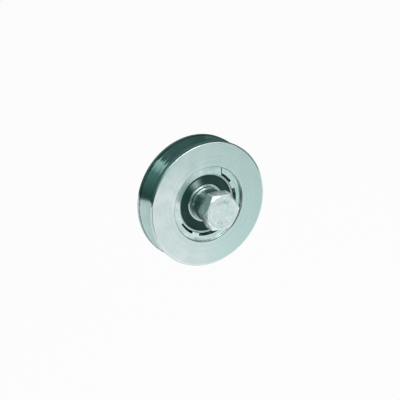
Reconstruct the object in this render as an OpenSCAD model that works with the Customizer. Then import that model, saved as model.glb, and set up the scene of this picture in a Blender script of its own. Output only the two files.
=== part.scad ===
// V-groove track wheel on a sealed ball bearing, with its hexagon axle bolt.
// The axle runs along Y, the bolt head is at the front (-Y) and +Z is up.
// The origin is the middle of the wheel. All sizes are in millimetres.

/* [Wheel] */
// Outside diameter over the two rims
wheel_d = 80; // [72:1:110]
// Width from face to face
wheel_w = 19; // [17:0.5:26]
// Width of the plain land on each rim
rim_land = 3.2; // [2.4:0.2:4.6]
// Angle between the two flanks of the groove
groove_angle = 90; // [80:5:100]
// Radius at the root of the groove
root_r = 1; // [0.5:0.1:1.6]
// Bevel where a rim meets a face
rim_bevel = 0.8; // [0.3:0.1:1.2]

/* [Bearing] */
// Bore of the inner ring
bearing_bore = 17; // [15.5:0.5:18]
// Outside diameter of the outer ring
bearing_d = 40; // [38:0.5:42]
// Width of both rings
bearing_w = 12; // [11:0.5:13]
// Ball diameter
ball_d = 6.75; // [6:0.25:7]
// Number of balls
balls = 8; // [6:1:8]

/* [Retaining ring] */
// Thickness of the ring
ring_t = 1.5; // [1:0.1:1.8]
// Depth of the ring groove beyond the recess wall
ring_bite = 1.2; // [0.8:0.1:1.6]
// Where the ring is split, counted from +X towards +Z
split_at = 64; // [58:1:72]
// Lean of the split away from the radius
split_lean = 26; // [0:1:35]
// Width of the split
split_w = 0.6; // [0.3:0.1:1.5]
// Sweep of the wide part of the ring, which starts at the split
wide_sweep = 145; // [130:1:160]
// Width of each lug along the ring
lug_w = 5.6; // [4:0.2:8]

/* [Axle] */
// Diameter of the bolt
bolt_d = 14; // [12:0.5:14.5]
// Width across the flats of the head
head_af = 22; // [20:0.5:24]
// Height of the head
head_h = 8.8; // [7:0.2:10]
// Length of the bolt below its head
bolt_length = 65; // [60:1:75]
// Length of the threaded end
thread_length = 34; // [28:1:38]
// Length of the front collar, from the bearing to the head
front_collar = 10.5; // [7:0.5:13]
// Outside diameter of both collars
collar_d = 20.5; // [19:0.5:22]

/* [Hidden] */
$fn = 96;

wheel_r = wheel_d / 2;
half_w = wheel_w / 2;
lip_bevel = 0.3;
mouth_bevel = 0.4;
// How far a cutting shape runs past the surface that it cuts
past = 1;

// Bearing: rings, lands, seal pockets and ball track
bearing_r = bearing_d / 2;
bearing_h = bearing_w / 2;
pitch_r = (bearing_d + bearing_bore) / 4;
ball_r = ball_d / 2;
track_ratio = 0.52;
track_r = track_ratio * ball_d;
race_clearance = 0.02;
ring_chamfer = 0.8;
inner_land_step = 2;
outer_land_step = 1.95;
outer_rim_wall = 1.9;
inner_land_r = pitch_r - inner_land_step;
outer_land_r = pitch_r + outer_land_step;
seal_r = bearing_r - outer_rim_wall;
seal_pocket = 1.6;
seal_t = 1.25;
seal_sink = 0.25;
seal_dip = 0.35;
seal_bead_w = 0.7;
seal_lip_w = 0.8;
seal_slope_w = 0.3;
seal_heel_w = 0.9;
lip_clearance = 0.06;

// Cage: two pressed ribbons, riveted between the balls
cage_t = 0.6;
pocket_clearance = 0.2;
pocket_r = ball_r + pocket_clearance;
cage_in_clearance = 0.4;
cage_out_clearance = 0.35;
cage_in_r = inner_land_r + cage_in_clearance;
cage_out_r = outer_land_r - cage_out_clearance;
rivet_r = 0.6;
rivet_head_r = 1;
rivet_head_h = 0.45;

// Recess and retaining ring, both at the front of the wheel
recess_step = 4;
recess_r = bearing_r + recess_step;
ring_play = 0.1;
ring_rim_clearance = 0.2;
ring_overlap = 0.9;
slim_clearance = 0.7;
ring_groove_r = recess_r + ring_bite;
ring_r = ring_groove_r - ring_rim_clearance;
ring_hold_r = bearing_r - ring_overlap;
ring_slim_r = bearing_r + slim_clearance;
// The leaning cut gets ahead of the split by this angle at the ring's inner edge
wide_lead = atan((ring_r - ring_hold_r) * tan(split_lean) / ring_hold_r);
lug_pitch = 71;
first_lug = 27.5;
lug_count = 3;
mark_depth = 0.35;
mark_w = 0.6;
shoulder_step = 1.8;
shoulder_r = bearing_r - shoulder_step;

// Bolt, bushes and the stretches they share
bolt_r = bolt_d / 2;
thread_drop = 0.16;
thread_r = bolt_r - thread_drop;
tip_chamfer = 1.5;
bolt_play = 0.1;
bush_bore_r = bolt_r + bolt_play;
neck_r = bearing_bore / 2;
neck_play = 0.1;
neck_length = bearing_h - neck_play;
collar_r = collar_d / 2;
collar_bevel = 0.5;
bore_bevel = 0.8;
fillet_r = 0.6;
washer_face_r = 0.46 * head_af;
washer_face_h = 0.5;
rear_collar = bolt_length - thread_length - front_collar - bearing_w;
head_at = bearing_h + front_collar;

// Turns work made about Z, front upwards, so that its front points along -Y.
module on_axle() {
    rotate([90, 0, 0]) children();
}

// A body of revolution from an outline of radius against height.
module turned() {
    rotate_extrude() children();
}

// A pie slice from the first angle to the second, out to radius r.
module slice(from, to, r) {
    steps = ceil((to - from) / 45);
    polygon(concat([[0, 0]], [for (i = [0:steps])
        let (a = from + (to - from) * i / steps) 1.5 * r * [cos(a), sin(a)]]));
}

// The part of a flat ring between two radii and two angles.
module ring_sector(r_in, r_out, from, to) {
    intersection() {
        difference() {
            circle(r_out);
            circle(r_in);
        }
        slice(from, to, r_out);
    }
}

// ---- Wheel ----------------------------------------------------------------

// V groove with a rounded root and a small bevel at each lip.
module groove_outline() {
    half_open = half_w - rim_land;
    slope = tan(groove_angle / 2);
    tip_r = wheel_r - half_open / slope;
    root_at = tip_r + root_r / sin(groove_angle / 2);
    tangent_r = root_at - root_r * sin(groove_angle / 2);
    tangent_h = root_r * cos(groove_angle / 2);
    lip_r = wheel_r - lip_bevel;
    lip_h = half_open - lip_bevel * slope;
    translate([root_at, 0]) circle(root_r);
    polygon([
        [tangent_r, -tangent_h], [tangent_r, tangent_h], [lip_r, lip_h],
        [wheel_r, half_open + lip_bevel], [wheel_r + past, half_open + lip_bevel],
        [wheel_r + past, -half_open - lip_bevel], [wheel_r, -half_open - lip_bevel],
        [lip_r, -lip_h]
    ]);
}

// Blank with the bearing pocket, the front recess, the ring groove and the rear shoulder.
module wheel_blank() {
    groove_top = bearing_h + ring_t + ring_play;
    polygon([
        [shoulder_r + mouth_bevel, -half_w], [wheel_r - rim_bevel, -half_w],
        [wheel_r, rim_bevel - half_w], [wheel_r, half_w - rim_bevel],
        [wheel_r - rim_bevel, half_w], [recess_r + mouth_bevel, half_w],
        [recess_r, half_w - mouth_bevel], [recess_r, groove_top],
        [ring_groove_r, groove_top], [ring_groove_r, bearing_h],
        [bearing_r, bearing_h], [bearing_r, -bearing_h],
        [shoulder_r, -bearing_h], [shoulder_r, mouth_bevel - half_w]
    ]);
}

module wheel_body() {
    color("LightSteelBlue") on_axle() turned() difference() {
        wheel_blank();
        groove_outline();
    }
}

// ---- Retaining ring -------------------------------------------------------

// Leaves its children at the middle of the split, with +X along the cut.
module at_split() {
    rotate(split_at) translate([(ring_slim_r + ring_r) / 2, 0]) rotate(split_lean) children();
}

// Split ring: slim all round, wide from the split on, with lugs along the slim part.
// The wide part and the lugs reach over the edge of the bearing and hold it in.
module ring_outline() {
    lug_half = asin(lug_w / 2 / ring_slim_r);
    cut = 2 * (ring_r - ring_hold_r);
    difference() {
        union() {
            ring_sector(ring_slim_r, ring_r, 0, 360);
            difference() {
                ring_sector(ring_hold_r, ring_r, split_at - wide_lead, split_at + wide_sweep);
                at_split() translate([-cut, -cut]) square([2 * cut, cut]);
            }
            for (i = [0:lug_count - 1]) {
                lug_at = first_lug - i * lug_pitch;
                ring_sector(ring_hold_r, ring_slim_r + past, lug_at - lug_half, lug_at + lug_half);
            }
        }
        at_split() translate([-cut / 2, -split_w / 2]) square([cut, split_w]);
    }
}

// Shallow press marks: [angle, distance beyond the bearing, sweep] for each.
press_marks = [[87, 0.9, 14], [26, 2.6, 9], [251, 2.8, 8]];

module retaining_ring() {
    color("Gainsboro") on_axle() translate([0, 0, bearing_h]) difference() {
        linear_extrude(ring_t) ring_outline();
        for (mark = press_marks) {
            r = bearing_r + mark[1];
            translate([0, 0, ring_t - mark_depth]) linear_extrude(past)
                ring_sector(r - mark_w / 2, r + mark_w / 2, mark[0] - mark[2] / 2, mark[0] + mark[2] / 2);
        }
    }
}

// ---- Ball bearing ---------------------------------------------------------

module outer_ring_outline() {
    c = ring_chamfer;
    pocket_floor = bearing_h - seal_pocket;
    difference() {
        polygon([
            [outer_land_r, -pocket_floor], [seal_r, -pocket_floor], [seal_r, -bearing_h],
            [bearing_r - c, -bearing_h], [bearing_r, c - bearing_h],
            [bearing_r, bearing_h - c], [bearing_r - c, bearing_h],
            [seal_r, bearing_h], [seal_r, pocket_floor], [outer_land_r, pocket_floor]
        ]);
        translate([pitch_r + ball_r + race_clearance - track_r, 0]) circle(track_r);
    }
}

module inner_ring_outline() {
    c = ring_chamfer / 2;
    difference() {
        polygon([
            [neck_r + c, -bearing_h], [inner_land_r - c, -bearing_h],
            [inner_land_r, c - bearing_h], [inner_land_r, bearing_h - c],
            [inner_land_r - c, bearing_h], [neck_r + c, bearing_h],
            [neck_r, bearing_h - c], [neck_r, c - bearing_h]
        ]);
        translate([pitch_r - ball_r - race_clearance + track_r, 0]) circle(track_r);
    }
}

module bearing_outer_ring() {
    color("Silver") on_axle() turned() outer_ring_outline();
}

module bearing_inner_ring() {
    color("Silver") on_axle() turned() inner_ring_outline();
}

// Leaves its children at the place of ball number i; halves fall between two balls.
module at_ball(i) {
    rotate((i - 1) * 360 / balls) translate([pitch_r, 0, 0]) children();
}

module ball(i) {
    color("WhiteSmoke") on_axle() at_ball(i) sphere(ball_r);
}

// One pressed ribbon: flat between the balls, a half shell round each of them.
module cage_ribbon() {
    difference() {
        intersection() {
            union() {
                turned() translate([cage_in_r, 0]) square([cage_out_r - cage_in_r, cage_t]);
                for (i = [1:balls]) at_ball(i) sphere(pocket_r + cage_t);
            }
            turned() translate([cage_in_r, 0])
                square([cage_out_r - cage_in_r, pocket_r + 2 * cage_t]);
        }
        for (i = [1:balls]) {
            at_ball(i) sphere(pocket_r);
            at_ball(i + 0.5) translate([0, 0, -past]) cylinder(r = rivet_r, h = cage_t + 2 * past);
        }
    }
}

module cage_front() {
    color("DarkGray") on_axle() cage_ribbon();
}

module cage_rear() {
    color("DarkGray") on_axle() mirror([0, 0, 1]) cage_ribbon();
}

// A rivet between each two balls, with a low domed head on both ribbons.
module cage_rivets() {
    color("DimGray") on_axle() for (i = [1:balls]) at_ball(i + 0.5) {
        translate([0, 0, -cage_t]) cylinder(r = rivet_r, h = 2 * cage_t);
        for (side = [0, 1]) mirror([0, 0, side]) translate([0, 0, cage_t])
            cylinder(r1 = rivet_head_r, r2 = rivet_head_r / 2, h = rivet_head_h);
    }
}

// Rubber-faced shield: a raised bead at the rim and a lip that runs on the inner ring.
module seal_outline() {
    lip_r = inner_land_r + lip_clearance;
    face = bearing_h - seal_sink;
    back = face - seal_t;
    low = face - seal_dip;
    lip_out_r = lip_r + seal_slope_w + seal_lip_w;
    bead_in_r = seal_r - seal_bead_w;
    polygon([
        [lip_r, back + seal_dip], [lip_r + seal_heel_w, back], [seal_r, back], [seal_r, face],
        [bead_in_r, face], [bead_in_r - seal_slope_w, low], [lip_out_r + seal_slope_w, low],
        [lip_out_r, face], [lip_r + seal_slope_w, face], [lip_r, low]
    ]);
}

module seal_front() {
    color("DarkSlateGray") on_axle() turned() seal_outline();
}

module seal_rear() {
    color("DarkSlateGray") on_axle() mirror([0, 0, 1]) turned() seal_outline();
}

// ---- Bushes and bolt ------------------------------------------------------

// Flanged bush: a neck pressed into the bearing bore and a collar beyond its face.
module bush_outline(collar_length) {
    top = bearing_h + collar_length;
    c = collar_bevel;
    polygon([
        [bush_bore_r, bearing_h - neck_length], [neck_r - c, bearing_h - neck_length],
        [neck_r, bearing_h - neck_length + c], [neck_r, bearing_h],
        [collar_r - c, bearing_h], [collar_r, bearing_h + c],
        [collar_r, top - c], [collar_r - c, top],
        [bush_bore_r + bore_bevel, top], [bush_bore_r, top - bore_bevel]
    ]);
}

module front_bush() {
    color("SlateGray") on_axle() turned() bush_outline(front_collar);
}

module rear_bush() {
    color("SlateGray") on_axle() mirror([0, 0, 1]) turned() bush_outline(rear_collar);
}

// Envelope that bevels the hexagon's corners above and below.
module head_envelope() {
    flat_r = 0.475 * head_af;
    under_r = 0.508 * head_af;
    corner_r = head_af / 2 / cos(30) + past;
    slope = tan(30);
    polygon([
        [0, washer_face_h], [under_r, washer_face_h],
        [corner_r, washer_face_h + (corner_r - under_r) * slope],
        [corner_r, head_h - (corner_r - flat_r) * slope], [flat_r, head_h], [0, head_h]
    ]);
}

// Shank below the head: fillet, plain stretch, thread at its crest diameter, tip.
module shank_outline() {
    plain = bolt_length - thread_length;
    difference() {
        union() {
            translate([0, -plain]) square([bolt_r, plain]);
            translate([0, -fillet_r]) square([bolt_r + fillet_r, fillet_r]);
        }
        translate([bolt_r + fillet_r, -fillet_r]) circle(fillet_r);
    }
    polygon([
        [0, -bolt_length], [thread_r - tip_chamfer, -bolt_length],
        [thread_r, tip_chamfer - bolt_length], [thread_r, -plain], [0, -plain]
    ]);
}

module axle_bolt() {
    color("LightGray") on_axle() translate([0, 0, head_at]) {
        intersection() {
            cylinder(r = head_af / 2 / cos(30), h = head_h, $fn = 6);
            turned() head_envelope();
        }
        cylinder(r = washer_face_r, h = washer_face_h);
        turned() shank_outline();
    }
}

wheel_body();
retaining_ring();
bearing_outer_ring();
bearing_inner_ring();
for (i = [1:balls]) ball(i);
cage_front();
cage_rear();
cage_rivets();
seal_front();
seal_rear();
front_bush();
rear_bush();
axle_bolt();
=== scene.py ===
"""Looks of a V-groove track wheel: turned wheel, split ring, sealed bearing, bushes and bolt.

The frame holds the axle along Y, with the bolt head towards -Y and +Z up. The frame and the studio
are in metres. The wheel's own classes hold millimetres: r is the distance from the axle, s the
height along it towards the front, and an angle runs from +X towards +Z.
"""

import logging
import math
from dataclasses import dataclass
from enum import Enum

import bpy
import numpy as np
from mathutils import Matrix, Vector


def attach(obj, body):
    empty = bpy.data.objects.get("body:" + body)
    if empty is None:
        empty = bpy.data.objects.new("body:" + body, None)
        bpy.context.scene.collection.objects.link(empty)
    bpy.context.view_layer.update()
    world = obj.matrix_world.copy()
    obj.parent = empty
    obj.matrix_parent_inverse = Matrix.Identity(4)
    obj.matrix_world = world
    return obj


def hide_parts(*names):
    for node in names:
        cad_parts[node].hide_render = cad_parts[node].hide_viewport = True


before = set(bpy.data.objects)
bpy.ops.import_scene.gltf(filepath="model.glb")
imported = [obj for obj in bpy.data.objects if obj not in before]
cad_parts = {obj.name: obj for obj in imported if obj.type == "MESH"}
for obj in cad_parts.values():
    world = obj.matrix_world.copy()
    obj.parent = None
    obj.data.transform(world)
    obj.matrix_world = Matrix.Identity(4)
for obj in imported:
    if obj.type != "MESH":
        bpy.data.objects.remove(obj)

MM = 0.001
MICROMETRE = 1e-6
NEARLY = 1e-6  # play in a comparison, in millimetres
MM_IN_METRE = 1000.0
SHARP_EDGE = math.radians(40)
ARC_SHARE = 0.42  # the most of a side that one arc may take
GUARD_SHARE = 0.25  # the most of the rest that a guard point may take
NOISE_RANGE = (0.35, 0.65)  # most of a noise lies between these
BRUSH_TURN = 0.25  # a quarter turn from the tangent
WHITE = (1.0, 1.0, 1.0, 1.0)
RGB = tuple[float, float, float]
Corner = tuple[float, float, float]  # r, s and the radius that rounds it
Socket = bpy.types.NodeSocket
log = logging.getLogger("track_wheel")


class Body(Enum):
    """The moving bodies that new pieces ride on."""

    AXLE = "axle"
    WHEEL = "wheel"


# ---- Surfaces ---------------------------------------------------------------


def in_scene(name: str, data: bpy.types.ID) -> bpy.types.Object:
    """Puts a mesh, a lamp or a camera into the scene.

    Args:
        name: name of the new object.
        data: what the object holds.

    Returns:
        The object, at the origin.
    """
    obj = bpy.data.objects.new(name, data)
    bpy.context.scene.collection.objects.link(obj)
    return obj


@dataclass
class Surface:
    """A closed skin of quads and triangles.

    The edge value of a point is 1 on an outer corner, -1 in an inner one and 0 on the faces. Values
    below 0, in inner corners and other chosen places, paint shade into the colour. The run value is 1
    where it is rubbed in use; on the front seal it marks a painted highlight instead.
    """

    points: np.ndarray
    quads: np.ndarray
    tris: np.ndarray
    edge: np.ndarray
    run: np.ndarray | None = None

    def joined(self, other: "Surface") -> "Surface":
        """Both skins as one, each still closed by itself.

        Args:
            other: the skin to add.

        Returns:
            A skin without run values.
        """
        shift = len(self.points)
        return Surface(*map(np.concatenate, (
            (self.points, other.points), (self.quads, other.quads + shift),
            (self.tris, other.tris + shift), (self.edge, other.edge))))

    def outward(self) -> "Surface":
        """The skin with its faces pointing out.

        The volume is a sixth of the sum of a . (b x c) over all triangles a, b, c, and
        comes out negative where the faces point in.

        Returns:
            The same skin, or one with every face turned over.
        """
        corners = np.concatenate([self.quads[:, [0, 1, 2]], self.quads[:, [0, 2, 3]], self.tris])
        a, b, c = (self.points[corners[:, k]] for k in range(3))
        if np.einsum("ij,ij->", a, np.cross(b, c)) < 0:
            return Surface(self.points, self.quads[:, ::-1], self.tris[:, ::-1], self.edge, self.run)
        return self

    def piece(self, name: str) -> bpy.types.Object:
        """Puts the skin into a mesh object at the origin.

        Args:
            name: name of the new object.

        Returns:
            The object, smooth except along hard edges, with its edge and run values as attributes.
        """
        sizes = np.concatenate([np.full(len(self.quads), 4), np.full(len(self.tris), 3)])
        corners = np.concatenate([self.quads.ravel(), self.tris.ravel()])
        mesh = bpy.data.meshes.new(name)
        mesh.vertices.add(len(self.points))
        mesh.vertices.foreach_set("co", (self.points * MM).astype(np.float32).ravel())
        mesh.loops.add(len(corners))
        mesh.loops.foreach_set("vertex_index", corners.astype(np.int32))
        mesh.polygons.add(len(sizes))
        mesh.polygons.foreach_set("loop_start", (np.cumsum(sizes) - sizes).astype(np.int32))
        mesh.update(calc_edges=True)
        run = np.zeros(len(self.points)) if self.run is None else self.run
        for key, values in (("edge", self.edge), ("run", run)):
            mesh.attributes.new(key, "FLOAT", "POINT").data.foreach_set("value", values.astype(np.float32))
        mesh.shade_smooth()
        mesh.set_sharp_from_angle(angle=SHARP_EDGE)
        return in_scene(name, mesh)


def in_place(r: np.ndarray, angle: np.ndarray, s: np.ndarray) -> np.ndarray:
    """Points for distances r, angles and heights s: x is r cos(angle), z is r sin(angle), y is -s."""
    r, angle, s = np.broadcast_arrays(r, angle, s)
    return np.stack([r * np.cos(angle), -s, r * np.sin(angle)], axis=-1)


def grid_cells(rows: int, columns: int, closed_rows: bool, closed_columns: bool = True) -> np.ndarray:
    """Corner numbers of the quads of a grid.

    Args:
        rows: number of rows.
        columns: number of columns.
        closed_rows: whether the last row joins the first.
        closed_columns: whether the last column joins the first.

    Returns:
        An array of quads.
    """
    i = np.arange(rows if closed_rows else rows - 1)[:, None]
    j = np.arange(columns if closed_columns else columns - 1)[None, :]
    down, right = (i + 1) % rows, (j + 1) % columns
    quads = np.stack(np.broadcast_arrays(
        i * columns + j, i * columns + right, down * columns + right, down * columns + j), axis=-1)
    return quads.reshape(-1, 4)


def rounded(corners: np.ndarray, radii: np.ndarray, closed: bool = True,
            steps: int = 5, guard: float = 0.25) -> tuple[np.ndarray, np.ndarray]:
    """Rounds the corners of an outline, for many columns at once.

    At a corner p whose sides leave along the unit vectors a and b, the half angle is
    h = acos(a . b) / 2. The arc of radius q starts q / tan(h) along a, ends as far along b,
    and its middle lies q / sin(h) from p. A guard point on each side keeps the faces flat,
    so that a corner becomes steps + 2 points.

    Args:
        corners: outline corners, shape (corner, column, 2), as r and s.
        radii: radius at each corner; the ends of an open outline stay as they are.
        closed: whether the last corner joins the first.
        steps: points on each arc.
        guard: distance from an arc to its guard points.

    Returns:
        The rounded outline, shape (point, column, 2), and the edge value of its points.
    """
    corners = np.asarray(corners, float)
    inner = corners if closed else corners[1:-1]
    before = np.roll(corners, 1, axis=0) if closed else corners[:-2]
    after = np.roll(corners, -1, axis=0) if closed else corners[2:]
    radius = np.asarray(radii, float)[:, None, None]
    to_a, to_b = before - inner, after - inner
    len_a, len_b = (np.linalg.norm(side, axis=-1, keepdims=True) for side in (to_a, to_b))
    a, b = to_a / len_a, to_b / len_b
    half = np.arccos(np.clip((a * b).sum(-1, keepdims=True), -1, 1)) / 2
    reach = np.minimum(radius / np.tan(half), ARC_SHARE * np.minimum(len_a, len_b))
    middle = inner + (a + b) / np.linalg.norm(a + b, axis=-1, keepdims=True) * reach / np.cos(half)
    v0, v1 = inner + a * reach - middle, inner + b * reach - middle
    turn = (math.pi - 2 * half)[None]
    k = np.linspace(0, 1, steps)[:, None, None, None]
    arc = middle + (np.sin((1 - k) * turn) * v0 + np.sin(k * turn) * v1) / np.sin(turn)
    lead, tail = (reach + np.minimum(guard, GUARD_SHARE * (side - reach)) for side in (len_a, len_b))
    points = np.concatenate([(inner + a * lead)[None], arc, (inner + b * tail)[None]])
    points = points.swapaxes(0, 1).reshape(-1, *corners.shape[1:])
    cross = (a[..., 1] * b[..., 0] - a[..., 0] * b[..., 1])[:, 0]
    mark = np.where(cross * shoelace(corners[:, 0]) > 0, 1.0, -1.0)
    edge = np.pad(np.tile(mark, (steps, 1)), ((1, 1), (0, 0))).T.ravel()
    if not closed:
        points = np.concatenate([corners[:1], points, corners[-1:]])
        edge = np.pad(edge, 1)
    return points, edge


def shoelace(outline: np.ndarray) -> float:
    """Twice the signed area of a closed outline: the sum of r0 s1 - r1 s0 over its sides."""
    after = np.roll(outline, -1, axis=0)
    return float((outline[:, 0] * after[:, 1] - after[:, 0] * outline[:, 1]).sum())


def mirrored(corners: list[Corner]) -> list[Corner]:
    """The corners at the other end of the axle, in the opposite order."""
    return [(r, -s, radius) for r, s, radius in reversed(corners)]


def turned(outline: np.ndarray, edge: np.ndarray, angles: np.ndarray) -> Surface:
    """Carries a closed outline once round the axle.

    Args:
        outline: points of the outline, shape (point, 1 or column, 2), as r and s.
        edge: edge value of each point.
        angles: the angles of the columns.

    Returns:
        The closed skin.
    """
    points = in_place(outline[..., 0], angles[None, :], outline[..., 1])
    rows, columns = points.shape[:2]
    return Surface(points.reshape(-1, 3), grid_cells(rows, columns, True),
                   np.zeros((0, 3), int), np.repeat(edge, columns)).outward()


def spun(outline: np.ndarray, edge: np.ndarray, angles: np.ndarray) -> Surface:
    """Carries an open outline round the axle and closes it with one point at each end.

    Args:
        outline: points from axle to axle, shape (point, column, 2); the first and the last
            lie on the axle.
        edge: edge value of each point and column.
        angles: the angles of the columns.

    Returns:
        The closed skin.
    """
    points = in_place(outline[..., 0], angles[None, :], outline[..., 1])
    rows, columns = points.shape[:2]
    body = points[1:-1].reshape(-1, 3)
    first, last = len(body), len(body) + 1
    j = np.arange(columns)
    right = (j + 1) % columns
    bottom = (rows - 3) * columns
    caps = np.concatenate([
        np.stack([np.full(columns, first), right, j], axis=-1),
        np.stack([np.full(columns, last), bottom + j, bottom + right], axis=-1),
    ])
    return Surface(
        np.concatenate([body, points[0, :1], points[-1, :1]]), grid_cells(rows - 2, columns, False), caps,
        np.concatenate([edge[1:-1].ravel(), [0.0, 0.0]])).outward()


def round_angles(count: int) -> np.ndarray:
    """Evenly spaced angles once round, without the last."""
    return np.arange(count) * (2 * math.pi / count)


def smooth_step(x: np.ndarray) -> np.ndarray:
    """3 x^2 - 2 x^3 with x held between 0 and 1."""
    x = np.clip(x, 0, 1)
    return x * x * (3 - 2 * x)


def soft_band(off: np.ndarray, half: float, soft: float) -> np.ndarray:
    """1 where off is nearer 0 than half, 0 where it is farther, with a smooth step that is soft wide."""
    return smooth_step((half - np.abs(off)) / soft + 0.5)


# ---- Node trees -------------------------------------------------------------


class Tree:
    """Adds nodes and links to a material's tree or to a shader node group."""

    def __init__(self, tree: bpy.types.NodeTree) -> None:
        """Starts on a tree, emptied of its nodes."""
        self.tree = tree
        tree.nodes.clear()

    def add(self, kind: str, inputs: dict | None = None, **settings: object) -> bpy.types.Node:
        """Adds one node.

        Args:
            kind: the node's type, without its leading ShaderNode.
            inputs: values or sockets for its inputs, by name or number.
            **settings: properties of the node.

        Returns:
            The node.
        """
        node = self.tree.nodes.new(kind if kind.startswith("Node") else "ShaderNode" + kind)
        for key, value in settings.items():
            setattr(node, key, value)
        for key, value in (inputs or {}).items():
            if isinstance(value, Socket):
                self.tree.links.new(value, node.inputs[key])
            else:
                node.inputs[key].default_value = value
        return node

    def math(self, operation: str, *values: object) -> Socket:
        """A Math node on up to three values; returns its output."""
        return self.add("Math", dict(enumerate(values)), operation=operation).outputs[0]

    def weighed(self, a: object, p: object, b: object, q: object) -> Socket:
        """The sum a p + b q."""
        return self.math("ADD", self.math("MULTIPLY", a, p), self.math("MULTIPLY", b, q))

    def span(self, value: object, low: float, high: float, to_low: float = 0.0,
             to_high: float = 1.0) -> Socket:
        """Maps low..high to to_low..to_high, held inside that range."""
        return self.add("MapRange", {0: value, 1: low, 2: high, 3: to_low, 4: to_high},
                        clamp=True).outputs[0]

    def mix(self, factor: object, a: object, b: object) -> Socket:
        """Mixes two colours: the factor 0 gives a, 1 gives b."""
        a, b = ((*c, 1.0) if isinstance(c, tuple) and len(c) == 3 else c for c in (a, b))
        return self.add("Mix", {0: factor, 6: a, 7: b}, data_type="RGBA").outputs[2]

    def noise(self, vector: object, scale: float, detail: float = 2.0,
              roughness: float = 0.5, dimensions: str = "3D") -> Socket:
        """A Noise Texture on the given coordinates, about 0.3 to 0.7."""
        return self.add("TexNoise", {"Vector": vector, "Scale": scale, "Detail": detail,
                                     "Roughness": roughness}, noise_dimensions=dimensions).outputs[0]

    def place(self) -> Socket:
        """The object's own coordinates, in metres."""
        return self.add("TexCoord").outputs["Object"]

    def in_sizes(self, vector: Socket, size: Socket) -> Socket:
        """Coordinates as multiples of a size in millimetres."""
        rate = self.math("DIVIDE", MM_IN_METRE, size)
        return self.add("VectorMath", {0: vector, 3: rate}, operation="SCALE").outputs[0]

    def stored(self, name: str) -> Socket:
        """A value that the mesh carries at its points."""
        return self.add("Attribute", attribute_name=name).outputs["Fac"]

    def effect(self, group: bpy.types.NodeTree, **inputs: object) -> dict[str, Socket]:
        """Adds a shared effect; its inputs are named with _ for a space. Returns its outputs by name."""
        named = {key.replace("_", " "): value for key, value in inputs.items()}
        return dict(self.add("Group", named, node_tree=group).outputs.items())


def new_material(name: str) -> tuple[bpy.types.Material, Tree]:
    """Makes an empty material.

    Args:
        name: name of the material.

    Returns:
        The material and its tree.
    """
    material = bpy.data.materials.new(name)
    material.use_nodes = True
    return material, Tree(material.node_tree)


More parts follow.
